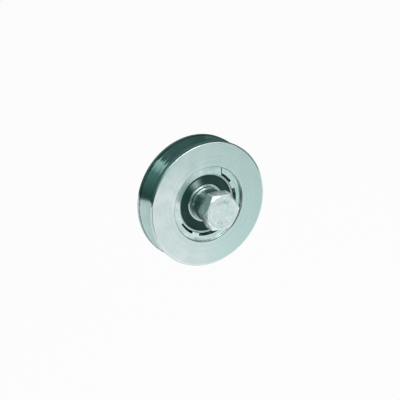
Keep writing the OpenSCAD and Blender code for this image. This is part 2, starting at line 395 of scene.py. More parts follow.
class Effects:
    """The effects that several finishes share, each a node group that is built once."""

    def __init__(self) -> None:
        """Builds the groups."""
        self.turning = self._turning_marks()
        self.cloud = self._plating_cloud()
        self.wear_and_shade = self._wear_and_shade_group()
        self.scuffs = self._scuffs()
        self.grain = self._fine_grain()

    @staticmethod
    def _start(name: str, inputs: dict[str, float], *outputs: str) -> tuple[Tree, bpy.types.Node]:
        """Makes an empty group with named value sockets.

        Args:
            name: name of the group.
            inputs: names of its inputs with their usual values.
            *outputs: names of its outputs.

        Returns:
            The group's tree and its input node.
        """
        group = bpy.data.node_groups.new(name, "ShaderNodeTree")
        tree = Tree(group)
        for key, value in inputs.items():
            socket = group.interface.new_socket(key, in_out="INPUT", socket_type="NodeSocketFloat")
            socket.default_value = value
        for key in outputs:
            group.interface.new_socket(key, in_out="OUTPUT", socket_type="NodeSocketFloat")
        return tree, tree.add("NodeGroupInput")

    def _turning_marks(self) -> bpy.types.NodeTree:
        """Rings left by a lathe tool: noise over the distance from the axle and the height along it.

        Returns:
            The group.
        """
        tree, given = self._start("turning_marks", {"Per mm": 1.0, "Wander": 0.15}, "Height", "Tone")
        x, y, z = tree.add("SeparateXYZ", {0: tree.place()}).outputs
        reach = tree.math("SQRT", tree.weighed(x, x, z, z))
        rate = tree.math("MULTIPLY", given.outputs["Per mm"], MM_IN_METRE)
        wave = tree.math("SINE", tree.math("MULTIPLY", tree.math("ARCTAN2", z, x), 2.0))
        across = tree.weighed(reach, rate, wave, given.outputs["Wander"])
        plane = tree.add("CombineXYZ", {0: across, 1: tree.math("MULTIPLY", y, rate)}).outputs[0]
        fine = tree.noise(plane, scale=5.0, detail=3.0, roughness=0.6, dimensions="2D")
        broad = tree.noise(plane, scale=1.0, dimensions="2D")
        height = tree.weighed(fine, 0.4, broad, 0.6)
        tree.add("NodeGroupOutput", {"Height": height, "Tone": tree.span(height, *NOISE_RANGE)})
        return tree.tree

    def _plating_cloud(self) -> bpy.types.NodeTree:
        """Broad soft clouds in the plating, from two sizes of noise in space.

        Returns:
            The group.
        """
        tree, given = self._start("plating_cloud", {"Size mm": 14.0}, "Tone")
        place = tree.in_sizes(tree.place(), given.outputs["Size mm"])
        large = tree.noise(place, scale=1.0, detail=3.0, roughness=0.55)
        both = tree.weighed(large, 0.7, tree.noise(place, scale=4.7), 0.3)
        tree.add("NodeGroupOutput", {"Tone": tree.span(both, 0.36, 0.64)})
        return tree.tree

    def _wear_and_shade_group(self) -> bpy.types.NodeTree:
        """Bright worn outer corners, and painted shade in inner ones and wherever the edge value is below 0,
        from the edge value broken up by noise.

        Returns:
            The group.
        """
        tree, given = self._start("edge_wear_and_painted_shade", {"Edge": 0.0, "Amount": 0.6}, "Worn", "Painted_shade")
        spots = tree.noise(tree.place(), scale=900.0, detail=3.0, roughness=0.6)
        lift = tree.span(spots, *NOISE_RANGE, to_low=0.35)
        amounts = {}
        for name, sign in (("Worn", 1.0), ("Painted_shade", -1.0)):
            side = tree.math("MAXIMUM", tree.math("MULTIPLY", given.outputs["Edge"], sign), 0.0)
            amounts[name] = tree.math("MULTIPLY", tree.math("MULTIPLY", side, lift), given.outputs["Amount"])
        tree.add("NodeGroupOutput", amounts)
        return tree.tree

    def _scuffs(self) -> bpy.types.NodeTree:
        """Short fine handling scratches: thin lines where stretched, bent noise crosses its middle.

        Returns:
            The group.
        """
        tree, given = self._start("scuffs", {"Size mm": 6.0, "Width": 0.02}, "Line")
        place = tree.place()
        lines = []
        for turn, stretch in (((0.3, 0.9, 0.2), (1.0, 1.0, 7.0)), ((1.1, 0.4, 2.0), (6.0, 1.0, 1.0))):
            laid = tree.add("Mapping", {"Vector": place, "Rotation": turn, "Scale": stretch}).outputs[0]
            bent = tree.noise(tree.in_sizes(laid, given.outputs["Size mm"]), scale=1.0, detail=1.0)
            off = tree.math("ABSOLUTE", tree.math("SUBTRACT", bent, 0.5))
            far = tree.math("MINIMUM", tree.math("DIVIDE", off, given.outputs["Width"]), 1.0)
            lines.append(tree.math("SUBTRACT", 1.0, far))
        gate = tree.span(tree.noise(place, scale=160.0), 0.5, 0.62)
        line = tree.math("MULTIPLY", tree.math("MAXIMUM", *lines), gate)
        tree.add("NodeGroupOutput", {"Line": line})
        return tree.tree

    def _fine_grain(self) -> bpy.types.NodeTree:
        """Fine even grain in space, for moulded, rolled and forged skins.

        Returns:
            The group.
        """
        tree, given = self._start("fine_grain", {"Size mm": 0.4}, "Height", "Tone")
        place = tree.in_sizes(tree.place(), given.outputs["Size mm"])
        grain = tree.noise(place, scale=1.0, detail=3.0, roughness=0.6)
        tree.add("NodeGroupOutput", {"Height": grain, "Tone": tree.span(grain, *NOISE_RANGE)})
        return tree.tree


# ---- Finishes ---------------------------------------------------------------


@dataclass(frozen=True)
class Metal:
    """A bright metal finish with lathe rings, plating clouds, grain, worn edges, scuffs and painted shade.

    Depths are in micrometres and sizes in millimetres.
    """

    name: str
    bright: RGB
    shade: RGB
    worn: RGB
    painted_shade: RGB
    roughness: float = 0.28
    rough_spread: float = 0.08
    rings_per_mm: float = 1.0
    ring_depth: float = 6.0
    ring_tone: float = 0.3
    cloud_size: float = 14.0
    cloud_tone: float = 0.7
    grain_size: float = 0.5
    grain_depth: float = 2.0
    grain_rough: float = 0.05
    scuff: float = 0.25
    scuff_depth: float = 1.5
    wear_and_shade: float = 0.6
    worn_smooth: float = 0.08
    brushed: float = 0.0
    run_roughness: float = 0.12
    run_tone: RGB = (0.55, 0.66, 0.65)
    run_shade: float = 0.7

    def material(self, effects: Effects) -> bpy.types.Material:
        """Builds the material.

        Args:
            effects: the shared node groups.

        Returns:
            The finished material.
        """
        material, tree = new_material(self.name)
        rings = tree.effect(effects.turning, Per_mm=self.rings_per_mm)
        cloud = tree.effect(effects.cloud, Size_mm=self.cloud_size)
        grain = tree.effect(effects.grain, Size_mm=self.grain_size)
        line = tree.effect(effects.scuffs)["Line"]
        wear_and_shade = tree.effect(effects.wear_and_shade, Edge=tree.stored("edge"), Amount=self.wear_and_shade)
        run = tree.stored("run")

        tone = tree.weighed(cloud["Tone"], self.cloud_tone, rings["Tone"], self.ring_tone)
        colour = tree.mix(tone, self.bright, self.shade)
        rubbed = tree.mix(tree.math("MULTIPLY", tone, self.run_shade), self.run_tone, self.shade)
        colour = tree.mix(run, colour, rubbed)
        colour = tree.mix(wear_and_shade["Worn"], colour, self.worn)
        # painted shade: inner corners and places with an edge value below 0 darken towards the dark shade
        # colour
        colour = tree.mix(wear_and_shade["Painted_shade"], colour, self.painted_shade)
        colour = tree.mix(tree.math("MULTIPLY", line, self.scuff), colour, self.worn)

        rough = tree.span(cloud["Tone"], 0.0, 1.0, self.roughness - self.rough_spread,
                          self.roughness + self.rough_spread)
        rough = tree.math("ADD", rough, tree.math("MULTIPLY", run, self.run_roughness - self.roughness))
        rough = tree.math("ADD", rough, tree.math("MULTIPLY", grain["Tone"], self.grain_rough))
        rough = tree.math("SUBTRACT", rough, tree.math("MULTIPLY", wear_and_shade["Worn"], self.worn_smooth))

        total = tree.weighed(rings["Height"], self.ring_depth, grain["Height"], self.grain_depth)
        total = tree.math("SUBTRACT", total, tree.math("MULTIPLY", line, self.scuff_depth * self.scuff))
        bump = tree.add("Bump", {"Height": total, "Strength": 1.0, "Distance": MICROMETRE})
        shader = tree.add("BsdfPrincipled", {
            "Base Color": colour, "Metallic": 1.0, "Roughness": rough, "Normal": bump.outputs[0],
            "Anisotropic": self.brushed, "Anisotropic Rotation": BRUSH_TURN})
        if self.brushed:
            around = tree.add("Tangent", direction_type="RADIAL", axis="Y")
            tree.tree.links.new(around.outputs[0], shader.inputs["Tangent"])
        tree.add("OutputMaterial", {0: shader.outputs[0]})
        return material


@dataclass(frozen=True)
class Rubber:
    """Moulded nitrile rubber with fine rings from the mould, faint grease bloom, grain and a painted
    highlight where the run value is set.

    Depths are in micrometres and sizes in millimetres.
    """

    name: str
    base: RGB
    bloom: RGB
    painted_highlight: RGB = (0.46, 0.62, 0.60)
    highlight_low: float = 0.75
    bloom_size: float = 7.0
    bloom_share: float = 0.5
    roughness: float = 0.34
    rough_spread: float = 0.14
    grain_size: float = 0.35
    grain_depth: float = 6.0
    rings_per_mm: float = 1.4
    ring_depth: float = 14.0
    wear_and_shade: float = 0.35
    sheen_level: float = 0.25

    def material(self, effects: Effects) -> bpy.types.Material:
        """Builds the material.

        Args:
            effects: the shared node groups.

        Returns:
            The finished material.
        """
        material, tree = new_material(self.name)
        cloud = tree.effect(effects.cloud, Size_mm=self.bloom_size)["Tone"]
        grain = tree.effect(effects.grain, Size_mm=self.grain_size)
        rings = tree.effect(effects.turning, Per_mm=self.rings_per_mm)
        wear_and_shade = tree.effect(effects.wear_and_shade, Edge=tree.stored("edge"), Amount=self.wear_and_shade)
        bloom = tree.math("MULTIPLY", tree.math("MULTIPLY", cloud, rings["Tone"]), self.bloom_share)
        colour = tree.mix(bloom, self.base, self.bloom)
        colour = tree.mix(wear_and_shade["Worn"], colour, self.bloom)
        # painted highlight: a lighter patch where the run value is set, broken up by the mould rings
        highlight_rings = tree.span(rings["Tone"], 0.0, 1.0, to_low=self.highlight_low)
        colour = tree.mix(tree.math("MULTIPLY", tree.stored("run"), highlight_rings), colour, self.painted_highlight)
        rough = tree.span(tree.math("MULTIPLY", grain["Tone"], cloud), 0.0, 1.0,
                          self.roughness, self.roughness + self.rough_spread)
        total = tree.weighed(grain["Height"], self.grain_depth, rings["Height"], self.ring_depth)
        bump = tree.add("Bump", {"Height": total, "Strength": 1.0, "Distance": MICROMETRE})
        shader = tree.add("BsdfPrincipled", {
            "Base Color": colour, "Roughness": rough, "Normal": bump.outputs[0],
            "Specular IOR Level": self.sheen_level})
        tree.add("OutputMaterial", {0: shader.outputs[0]})
        return material


class Finish(Enum):
    """The finishes of this wheel."""

    # Each metal gives the bright and shade tones of its clouds, its worn colour and the dark colour painted
    # in as shade.
    TURNED_ZINC = Metal(
        "turned_zinc", (0.745, 0.81, 0.81), (0.60, 0.70, 0.695), (0.82, 0.89, 0.89), (0.045, 0.085, 0.08),
        roughness=0.24, rings_per_mm=0.9, ring_depth=7.0, ring_tone=0.35, cloud_size=34.0,
        cloud_tone=0.45, brushed=0.4, run_tone=(0.34, 0.51, 0.49))
    SPRING_STRIP = Metal(
        "spring_strip", (0.75, 0.85, 0.845), (0.45, 0.60, 0.585), (0.82, 0.91, 0.91), (0.10, 0.17, 0.16),
        roughness=0.22, ring_depth=1.0, ring_tone=0.1, cloud_size=7.0, cloud_tone=0.5, grain_size=0.7,
        grain_depth=5.0, scuff=0.4)
    GROUND_RACE = Metal(
        "ground_race", (0.62, 0.72, 0.71), (0.44, 0.56, 0.55), (0.85, 0.92, 0.92), (0.03, 0.06, 0.056),
        roughness=0.16, rough_spread=0.04, rings_per_mm=3.0, ring_depth=1.5, ring_tone=0.2,
        cloud_size=9.0, cloud_tone=0.5)
    POLISHED_BALL = Metal(
        "polished_ball", (0.75, 0.80, 0.80), (0.66, 0.72, 0.72), (0.85, 0.9, 0.9), (0.3, 0.35, 0.35),
        roughness=0.08, rough_spread=0.02, ring_depth=0.0, ring_tone=0.0, grain_depth=0.3, scuff=0.1)
    PRESSED_CAGE = Metal(
        "pressed_cage", (0.50, 0.55, 0.54), (0.36, 0.42, 0.41), (0.68, 0.72, 0.72), (0.1, 0.12, 0.12),
        roughness=0.36, ring_depth=0.0, ring_tone=0.0, cloud_size=4.0, grain_size=0.4, grain_depth=8.0)
    TURNED_BUSH = Metal(
        "turned_bush", (0.70, 0.80, 0.79), (0.48, 0.61, 0.595), (0.85, 0.92, 0.92), (0.03, 0.06, 0.055),
        roughness=0.27, rough_spread=0.05, rings_per_mm=1.8, ring_depth=5.0, ring_tone=0.35,
        cloud_size=8.0, cloud_tone=0.45, brushed=0.3)
    FORGED_ZINC = Metal(
        "forged_zinc", (0.85, 0.89, 0.89), (0.68, 0.76, 0.76), (0.88, 0.94, 0.94), (0.14, 0.22, 0.21),
        roughness=0.29, ring_depth=0.0, ring_tone=0.0, cloud_size=3.2, cloud_tone=0.6, grain_size=0.9,
        grain_depth=9.0, scuff=0.08)
    SEAL_RUBBER = Rubber("seal_rubber", (0.008, 0.045, 0.037), (0.03, 0.11, 0.095))


class Wardrobe:
    """Makes each finish's material once and hands it out."""

    def __init__(self) -> None:
        """Builds the shared effects."""
        self.effects = Effects()
        self.made: dict[Finish, bpy.types.Material] = {}

    def dress(self, obj: bpy.types.Object, finish: Finish) -> None:
        """Gives an object one finish in every material slot.

        Args:
            obj: the object.
            finish: its finish.
        """
        if finish not in self.made:
            self.made[finish] = finish.value.material(self.effects)
        if not obj.material_slots:
            obj.data.materials.append(self.made[finish])
        for slot in obj.material_slots:
            slot.material = self.made[finish]

    def place(self, obj: bpy.types.Object, body: Body, finish: Finish, slot: str, *nodes: str) -> None:
        """Dresses a new piece and ties it to the frame.

        Args:
            obj: the piece.
            body: the body that it rides on.
            finish: its finish.
            slot: the record's material slot; not used.
            *nodes: the frame's nodes that it stands for.
        """
        self.dress(obj, finish)
        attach(obj, body.value)
        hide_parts(*nodes)
        log.info("%s: %d faces on %s, %s", obj.name, len(obj.data.polygons), body.value, finish.value.name)


# ---- Wheel ------------------------------------------------------------------


@dataclass
class GroovedWheel:
    """The turned wheel with its V groove, bearing pocket, front recess and ring groove.

    The last three values are the edge values of places painted with shade.
    """

    radius: float = 40.0
    half_width: float = 9.5
    groove_half: float = 6.3
    root_round: float = 1.0
    rim_bevel: float = 0.8
    rim_round: float = 0.3
    lip_bevel: float = 0.3
    mouth_bevel: float = 0.4
    recess: float = 24.0
    ring_groove: float = 25.2
    groove_top: float = 7.6
    pocket: float = 20.0
    pocket_half: float = 6.0
    pocket_lead: float = 0.6
    pocket_round: float = 0.2
    shoulder: float = 18.2
    face_round: float = 1.1
    round_steps: int = 6
    guard: float = 0.35
    ridge_depth: float = 0.018
    ridge_rows: int = 26
    ridge_from: float = 0.07
    ridge_to: float = 0.81
    columns: int = 384
    mouth_painted_shade: float = -2.0
    lip_painted_shade: float = -1.6
    ledge_painted_shade: float = -3.0

    def outline(self) -> tuple[np.ndarray, np.ndarray]:
        """The wheel's section before its corners are rounded.

        Returns:
            Its corners, as r and s, and the radius at each of them.
        """
        soft, crisp, tight = 0.15, 0.12, 0.1
        root = self.radius - self.groove_half
        lip = self.groove_half + self.lip_bevel
        flank_r, flank_s = self.radius - self.lip_bevel, self.groove_half - self.lip_bevel
        half, deep, lead = self.half_width, self.mouth_bevel, self.pocket_lead
        rear = [(self.radius - self.rim_bevel, -half, self.face_round),
                (self.radius, self.rim_bevel - half, self.rim_round),
                (self.radius, -lip, soft), (flank_r, -flank_s, soft)]
        inside = [
            (self.recess + deep, half, crisp), (self.recess, half - deep, crisp),
            (self.recess, self.groove_top, tight), (self.ring_groove, self.groove_top, tight),
            (self.ring_groove, self.pocket_half, crisp), (self.pocket + lead, self.pocket_half, tight),
            (self.pocket, self.pocket_half - lead, tight),
            (self.pocket, -self.pocket_half, self.pocket_round), (self.shoulder, -self.pocket_half, soft),
            (self.shoulder, deep - half, crisp), (self.shoulder + deep, -half, crisp),
        ]
        rows = np.array(rear + [(root, 0.0, self.root_round)] + mirrored(rear) + inside)
        return rows[:, None, :2], rows[:, 2]

    def flank(self, side: int) -> np.ndarray:
        """Shallow ridges that the tool left down one flank, as r and s.

        At the share t down the flank the skin stands depth * sin(6.3 t + 1) sin(25 t) off the
        straight line from lip to root, along the flank's normal (1, -side) / sqrt(2).

        Args:
            side: -1 for the flank that rises to the rear, 1 for the one that rises to the front.

        Returns:
            Points from the lip to the root for the rear, and back up for the front.
        """
        swell, beat = 6.3, 25.0
        deep = self.groove_half - self.lip_bevel
        share = np.linspace(self.ridge_from, self.ridge_to, self.ridge_rows)[::-side]
        off = self.ridge_depth * np.sin(swell * share + 1.0) * np.sin(beat * share) / math.sqrt(2)
        r = self.radius - self.lip_bevel - share * deep + off
        return np.stack([r, side * (deep * (1 - share) - off)], axis=-1)[:, None]

    def with_painted_shade(self, outline: np.ndarray, edge: np.ndarray) -> np.ndarray:
        """Edge values with painted shade on the recess's mouth, the groove's lips and the ledge under the
        ring.

        Args:
            outline: points of the outline, as r and s.
            edge: their edge values.

        Returns:
            The edge values of all points.
        """
        margin, lip_share, mouth_share = 0.1, 1.6, 0.8
        r, s = outline[:, 0, 0], outline[:, 0, 1]
        inside = r < self.ring_groove + margin
        ledge = inside & (s > self.pocket_half - 2 * self.pocket_lead) & (s < self.groove_top + 3 * margin)
        lips = ~inside & (np.abs(np.abs(s) - self.groove_half) < lip_share * self.lip_bevel)
        mouth = inside & (s > self.half_width - self.mouth_bevel - margin)
        mouth &= r < self.recess + mouth_share * self.mouth_bevel
        # painted shade: dark lines at the recess's mouth and the groove's lips, and a dark ledge under the
        # ring
        return np.select([mouth, lips, ledge], [self.mouth_painted_shade, self.lip_painted_shade, self.ledge_painted_shade], edge)

    def build(self, wardrobe: Wardrobe) -> None:
        """Makes the wheel and dresses it.

        Args:
            wardrobe: hands out the finishes.
        """
        corners, radii = self.outline()
        outline, edge = rounded(corners, radii, steps=self.round_steps, guard=self.guard)
        per_corner = self.round_steps + 2
        # the root is the only corner with its radius
        root = per_corner * int(np.flatnonzero(radii == self.root_round)[0])
        plain = np.zeros(self.ridge_rows)
        rear, bottom, rest = np.split(outline, (root, root + per_corner))
        outline = np.concatenate([rear, self.flank(-1), bottom, self.flank(1), rest])
        rear, bottom, rest = np.split(edge, (root, root + per_corner))
        edge = np.concatenate([rear, plain, bottom, plain, rest])
        skin = turned(outline, self.with_painted_shade(outline, edge), round_angles(self.columns))
        r, s = outline[:, 0, 0], outline[:, 0, 1]
        rim = (r > self.ring_groove + self.rim_bevel) & (np.abs(s) < self.half_width - self.rim_bevel / 2)
        skin.run = np.repeat(1.0 * rim, self.columns)
        piece = skin.piece("grooved_wheel")
        wardrobe.place(piece, Body.WHEEL, Finish.TURNED_ZINC, "plated_wheel", "wheel_body")


# ---- Split ring -------------------------------------------------------------


@dataclass
class SplitRing:
    """The pressed ring that holds the bearing in: slim all round, wide past the split, with lugs.

    Each press mark has an angle in degrees, a distance from the axle and a sweep in degrees.
    """

    outer: float = 25.0
    slim: float = 20.7
    hold: float = 19.1
    low: float = 6.0
    thickness: float = 1.5
    split_at: float = 64.0
    split_lean: float = 26.0
    split_width: float = 0.6
    wide_sweep: float = 145.0
    lug_width: float = 5.6
    first_lug: float = 27.5
    lug_pitch: float = 71.0
    lugs: int = 3
    corner: float = 0.35
    edge_round: float = 0.22
    mark_depth: float = 0.3
    mark_width: float = 0.7
    mark_soft: float = 0.3
    marks: tuple[tuple[float, float, float], ...] = ((87, 20.9, 14), (26, 22.6, 9), (251, 22.8, 8))
    overrun: float = 0.2
    spacing: float = 0.32
    spacing_angle: float = 0.015
    window: int = 25
    lean_reach: float = 16.0
    bend_rows: int = 5
    face_rows: int = 25

    def cut_angle(self, r: np.ndarray, side: float) -> np.ndarray:
        """Angle at which the straight, leaning cut meets the radius r.

        The cut leaves the middle of the split at the angle t = split + lean. A line at the
        distance p from the axle meets the radius r at t - asin(p / r).

        Args:
            r: distances from the axle.
            side: -1 for the wide end, 1 for the slim end.

        Returns:
            The angles, in radians.
        """
        middle = (self.slim + self.outer) / 2
        lean = math.radians(self.split_lean)
        off = middle * math.sin(lean) + side * self.split_width / 2
        return math.radians(self.split_at) + lean - np.arcsin(off / r)

    def inner_edge(self) -> tuple[np.ndarray, np.ndarray]:
        """The inner edge from the wide end round to the slim end.

        Corners are rounded on the edge laid out flat, with arc length against radius.

        Returns:
            The angles of its points, in radians, and their distances from the axle.
        """
        half = math.asin(self.lug_width / 2 / self.slim)
        start, stop = math.radians(self.split_at), math.radians(self.split_at + 360)
        wide = start + math.radians(self.wide_sweep)
        corners = [(start - self.overrun, self.hold), (wide, self.hold), (wide, self.slim)]
        for k in reversed(range(self.lugs)):
            at = math.radians(self.first_lug - k * self.lug_pitch + 360)
            corners += [(at - half, self.slim), (at - half, self.hold),
                        (at + half, self.hold), (at + half, self.slim)]
        corners.append((stop + self.overrun, self.slim))
        flat = np.array(corners) * (self.slim, 1.0)
        radii = np.full(len(flat) - 2, self.corner)
        path = rounded(flat[:, None, :], radii, closed=False, steps=6, guard=0.4)[0][:, 0]
        length = np.concatenate([[0], np.cumsum(np.linalg.norm(np.diff(path, axis=0), axis=1))])
        even = np.unique(np.concatenate([length, np.arange(0, length[-1], self.spacing)]).round(4))
        return np.interp(even, length, path[:, 0]) / self.slim, np.interp(even, length, path[:, 1])

    def dent(self, r: np.ndarray, angle: np.ndarray) -> np.ndarray:
        """Depth of the press marks: for each, a smooth trough across it times soft ends along it.

        Args:
            r: distances from the axle.
            angle: angles, in radians.

        Returns:
            The depth at each place.
        """
        depth = np.zeros_like(r)
        for at, mark_r, sweep in self.marks:
            off = np.abs((np.degrees(angle) - at + 180) % 360 - 180)
            along = smooth_step((sweep / 2 - off) * math.radians(1) * mark_r / self.mark_soft + 0.5)
            across = soft_band(r - mark_r, self.mark_width / 2, self.mark_soft)
            depth = np.maximum(depth, self.mark_depth * along * across)
        return depth

    def surface(self) -> Surface:
        """Carries a rounded rectangle along the ring and closes both ends.

        Each column runs from the inner edge to a place on the outer circle. The angle of that
        place is the inner edge's angle averaged over its neighbours, so that columns keep
        their order along the sides of the lugs. Near the split all angles lean with the cut.

        Returns:
            The closed skin.
        """
        angle, inner = self.inner_edge()
        past = np.arange(1, self.window + 1) * self.spacing_angle
        padded = np.concatenate([angle[0] - past[::-1], angle, angle[-1] + past])
        kernel = np.ones(2 * self.window + 1) / (2 * self.window + 1)
        outer_angle = np.convolve(padded, kernel, mode="valid")
        slope_a, slope_r = np.gradient(angle) * inner, np.gradient(inner)
        size = np.hypot(slope_a, slope_r)
        normal_a, normal_r = -slope_r / size, slope_a / size

        def inner_point(step: np.ndarray) -> tuple[np.ndarray, np.ndarray]:
            """Radii and angles of points set in from the inner edge along its normal."""
            step = np.asarray(step)[:, None]
            return inner + normal_r * step, angle + normal_a * step / inner

        e = self.edge_round
        bend = np.linspace(0, math.pi / 2, self.bend_rows)
        inset, rise = e * (1 - np.cos(bend)), e * (1 - np.sin(bend))
        side = np.concatenate([inset[::-1], inset])
        blend = np.linspace(0, 1, self.face_rows + 2)[1:-1, None]
        low, top = self.low, self.low + self.thickness
        r_side, a_side = inner_point(side)
        flat_r, flat_a = inner_point(np.array([e]))
        face_r = flat_r * (1 - blend) + (self.outer - e) * blend
        face_a = flat_a * (1 - blend) + outer_angle * blend
        r_rim = np.broadcast_to((self.outer - side)[:, None], r_side.shape)
        r = np.concatenate([r_side, face_r, r_rim, face_r[::-1]])
        a = np.concatenate([a_side, face_a, np.broadcast_to(outer_angle, r_rim.shape), face_a[::-1]])
        s_column = np.concatenate([low + rise[::-1], top - rise, np.full(self.face_rows, top),
                                   top - rise[::-1], low + rise, np.full(self.face_rows, low)])
        return self._leaned(r, a, np.broadcast_to(s_column[:, None], r.shape).copy())

    def _leaned(self, r: np.ndarray, a: np.ndarray, s: np.ndarray) -> Surface:
        """Bends the columns near the split onto the cut, presses the marks in and closes the ends.

        Args:
            r: distances from the axle, shape (row, column).
            a: angles of the same shape.
            s: heights of the same shape.

        Returns:
            The closed skin.
        """
        start, stop = math.radians(self.split_at), math.radians(self.split_at + 360)
        first, last = self.cut_angle(r, -1), self.cut_angle(r, 1) + 2 * math.pi
        reach = math.radians(self.lean_reach)
        lead = np.clip((start + reach - a) / reach, 0, 1)
        tail = np.clip((a - stop + reach) / reach, 0, 1)
        keep = (a[0] >= start) & (a[0] <= stop)
        keep |= np.roll(keep, 1) | np.roll(keep, -1)
        a = a + (first - start) * lead + (last - stop) * tail
        r, a, s = r[:, keep], a[:, keep], s[:, keep]
        a[:, 0], a[:, -1] = self.cut_angle(r[:, 0], -1), self.cut_angle(r[:, -1], 1) + 2 * math.pi
        face = slice(2 * self.bend_rows, 2 * self.bend_rows + self.face_rows)
        s[face] -= self.dent(r[face], a[face])
        rows, columns = r.shape
        points = in_place(r, a, s)
        edge = np.zeros(rows)
        edge[:face.start] = edge[face.stop:face.stop + face.start] = 1.0
        i = np.arange(rows)
        down = (i + 1) % rows
        caps = np.concatenate([
            np.stack([np.full(rows, rows * columns), i * columns, down * columns], axis=-1),
            np.stack([np.full(rows, rows * columns + 1), down * columns + columns - 1,
                      i * columns + columns - 1], axis=-1),
        ])
        return Surface(np.concatenate([points.reshape(-1, 3), points[:, [0, -1]].mean(axis=0)]),
                       grid_cells(rows, columns, True, closed_columns=False), caps,
                       np.concatenate([np.repeat(edge, columns), [0.0, 0.0]])).outward()

    def build(self, wardrobe: Wardrobe) -> None:
        """Makes the ring and dresses it."""
        piece = self.surface().piece("split_ring")
        wardrobe.place(piece, Body.WHEEL, Finish.SPRING_STRIP, "spring_ring", "retaining_ring")


# ---- Bearing ----------------------------------------------------------------


@dataclass
class SealedBearing:
    """Both rings and both seals of the ball bearing; balls and cage come from the frame.

    The front seal carries a painted highlight, a lighter patch at one angle round.
    """

    bore: float = 8.5
    outer: float = 20.0
    half: float = 6.0
    pitch: float = 14.25
    ball: float = 3.375
    track: float = 3.51
    track_rows: int = 15
    running: float = 0.02
    inner_land: float = 12.25
    outer_land: float = 16.2
    seal_rim: float = 18.1
    pocket_depth: float = 1.6
    chamfer: float = 0.8
    seal_sink: float = 0.25
    seal_thick: float = 1.25
    seal_dip: float = 0.35
    seal_line: float = 0.14
    lip_play: float = 0.06
    highlight_at: float = 118.0
    highlight_sweep: float = 11.0
    columns: int = 256
    painted_shade_value: float = -2.6
    outer_painted_shade: float = -0.9
    inner_unshaded: float = 1.8

    def race(self, land: float, middle: float) -> np.ndarray:
        """The ball track: the arc of the track circle between its two crossings of the land.

        A circle about (middle, 0) with the track's radius meets the land at the height
        sqrt(track^2 - (land - middle)^2).

        Args:
            land: radius of the land that the track is cut into.
            middle: distance of the track circle's middle from the axle.

        Returns:
            Points of the arc, as r and s, from the low crossing to the high one.
        """
        top = math.asin(math.sqrt(self.track ** 2 - (land - middle) ** 2) / self.track)
        turn = np.linspace(-top, top, self.track_rows)
        side = 1 if land > middle else -1
        return np.stack([middle + side * self.track * np.cos(turn), self.track * np.sin(turn)], axis=-1)

    def ring(self, front: list[Corner], track: np.ndarray, name: str, painted_shade_from: float = math.inf,
             painted_shade_to: float = 0.0, plain: float = 0.0) -> bpy.types.Object:
        """Turns a ring from its rounded corners and its ball track.

        Args:
            front: corners of its front half, in order and starting just past the track.
            track: points of the track, in the same direction.
            name: name of the piece.
            painted_shade_from: radius past which the ring gets painted shade.
            painted_shade_to: radius short of which it gets painted shade too.
            plain: edge value of its plain faces; below 0 it paints shade on them.

        Returns:
            The ring.
        """
        corners = front + mirrored(front)
        rows = np.array([(*track[-1], 0.0), *corners, (*track[0], 0.0)])
        outline, edge = rounded(rows[:, None, :2], rows[1:-1, 2], closed=False, guard=0.2)
        whole = np.concatenate([outline, track[1:-1][:, None, :]])
        values = np.concatenate([np.where(edge == 0, plain, edge), np.zeros(len(track) - 2)])
        reach = whole[:, 0, 0]
        values = np.where((reach > painted_shade_from) | (reach < painted_shade_to), self.painted_shade_value, values)
        return turned(whole, values, round_angles(self.columns)).piece(name)

    def outer_ring(self) -> bpy.types.Object:
        """The outer ring, with a seal pocket at each face.

        Returns:
            The ring.
        """
        floor, c = self.half - self.pocket_depth, self.chamfer
        front = [(self.outer_land, floor, 0.1), (self.seal_rim, floor, 0.1), (self.seal_rim, self.half, 0.12),
                 (self.outer - c, self.half, 0.15), (self.outer, self.half - c, 0.15)]
        track = self.race(self.outer_land, self.pitch + self.ball + self.running - self.track)
        # painted shade on the outer chamfer and, fainter, on the plain faces
        return self.ring(front, track, "outer_race", self.outer - 0.8 * c, plain=self.outer_painted_shade)

    def inner_ring(self) -> bpy.types.Object:
        """The inner ring, with a small chamfer at each edge.

        Returns:
            The ring.
        """
        c, tight = self.chamfer / 2, 0.1
        front = [(self.inner_land, self.half - c, tight), (self.inner_land - c, self.half, tight),
                 (self.bore + c, self.half, tight), (self.bore, self.half - c, tight)]
        track = self.race(self.inner_land, self.pitch - self.ball - self.running + self.track)
        # painted shade on the face near the bore, round the bush's collar
        return self.ring(front, track, "inner_race", painted_shade_to=self.inner_land - self.inner_unshaded)

    def seal(self, side: int, name: str) -> bpy.types.Object:
        """A moulded seal: bead at the rim, dished face with a line in it, raised lip at the inner ring.

        Args:
            side: 1 for the front, -1 for the rear.
            name: name of the piece.

        Returns:
            The seal.
        """
        lip, face = self.inner_land + self.lip_play, self.half - self.seal_sink
        back, low = face - self.seal_thick, face - self.seal_dip
        line = low - self.seal_line
        heel, lip_top, lip_end, lip_foot = (lip + width for width in (0.9, 0.3, 1.1, 1.4))
        bead, slope, line_a, line_b, line_c, line_d = (
            self.seal_rim - width for width in (0.7, 1.0, 1.7, 1.85, 2.15, 2.3))
        rows = np.array([
            (lip, back + self.seal_dip, 0.1), (heel, back, 0.1), (self.seal_rim, back, 0.1),
            (self.seal_rim, face, 0.16), (bead, face, 0.2), (slope, low, 0.15),
            (line_a, low, 0.1), (line_b, line, 0.1), (line_c, line, 0.1), (line_d, low, 0.1),
            (lip_foot, low, 0.15), (lip_end, face, 0.18), (lip_top, face, 0.18), (lip, low, 0.12),
        ])
        outline, edge = rounded(rows[:, None, :2] * (1, side), rows[:, 2], guard=0.15)
        angles = round_angles(self.columns)
        skin = turned(outline, edge, angles)
